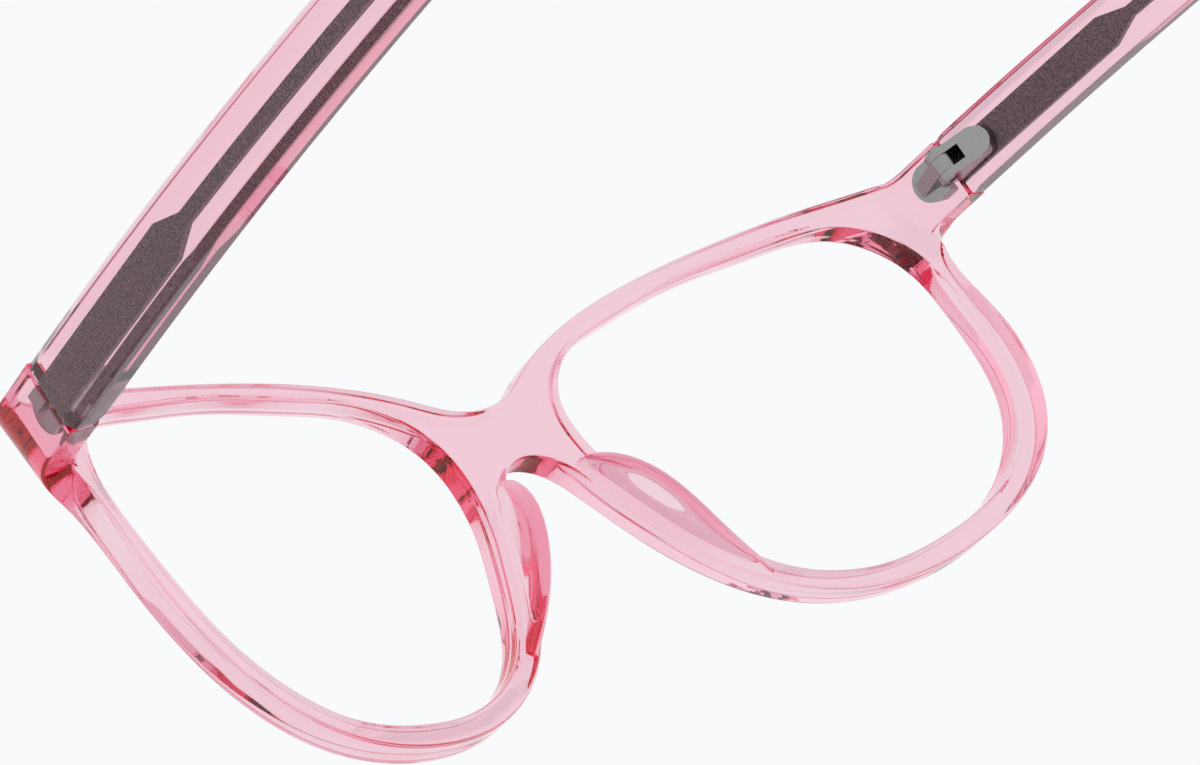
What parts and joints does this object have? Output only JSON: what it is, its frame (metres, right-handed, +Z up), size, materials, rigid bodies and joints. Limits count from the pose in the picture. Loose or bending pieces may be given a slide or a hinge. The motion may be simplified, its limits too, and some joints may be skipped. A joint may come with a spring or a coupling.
{
  "type": "blue light glasses",
  "caption": "Transparent pink acetate spectacles with clear filter lenses, saddle bridge, moulded nose pads and folding temples on riveted barrel hinges.",
  "frame": {"origin": "centre of the bounding box in plan, on the surface the open glasses stand on (rim bottoms and temple tips touch it)", "axes": "+X towards the wearer's left temple, +Y from the front back towards the temple tips, +Z up when worn"},
  "size_m": [0.1612, 0.1572, 0.0431],
  "materials": {
    "acetate": "polished transparent pink acetate",
    "lens": "clear polished lens",
    "hinge_metal": "satin nickel grey",
    "core_metal": "blasted nickel-silver core seen through the acetate"
  },
  "bodies": {
    "front": {"front_frame": "acetate", "left_lens": "lens", "left_nose_pad": "acetate", "left_front_hinge_leaf": "hinge_metal", "right_lens": "lens", "right_nose_pad": "acetate", "right_front_hinge_leaf": "hinge_metal"},
    "left_arm": {"left_temple": "acetate", "left_core_wire": "core_metal", "left_temple_hinge_leaf": "hinge_metal", "left_hinge_screw": "hinge_metal"},
    "right_arm": {"right_temple": "acetate", "right_core_wire": "core_metal", "right_temple_hinge_leaf": "hinge_metal", "right_hinge_screw": "hinge_metal"}
  },
  "joints": [
    {"name": "left_temple_hinge", "type": "hinge", "parent": "front", "child": "left_arm", "pos_m": [0.06239, -0.05628, 0.03769], "axis": [0, 0, 1], "range_deg": [0, 98]},
    {"name": "right_temple_hinge", "type": "hinge", "parent": "front", "child": "right_arm", "pos_m": [-0.06239, -0.05628, 0.03769], "axis": [0, 0, -1], "range_deg": [0, 91]}
  ]
}
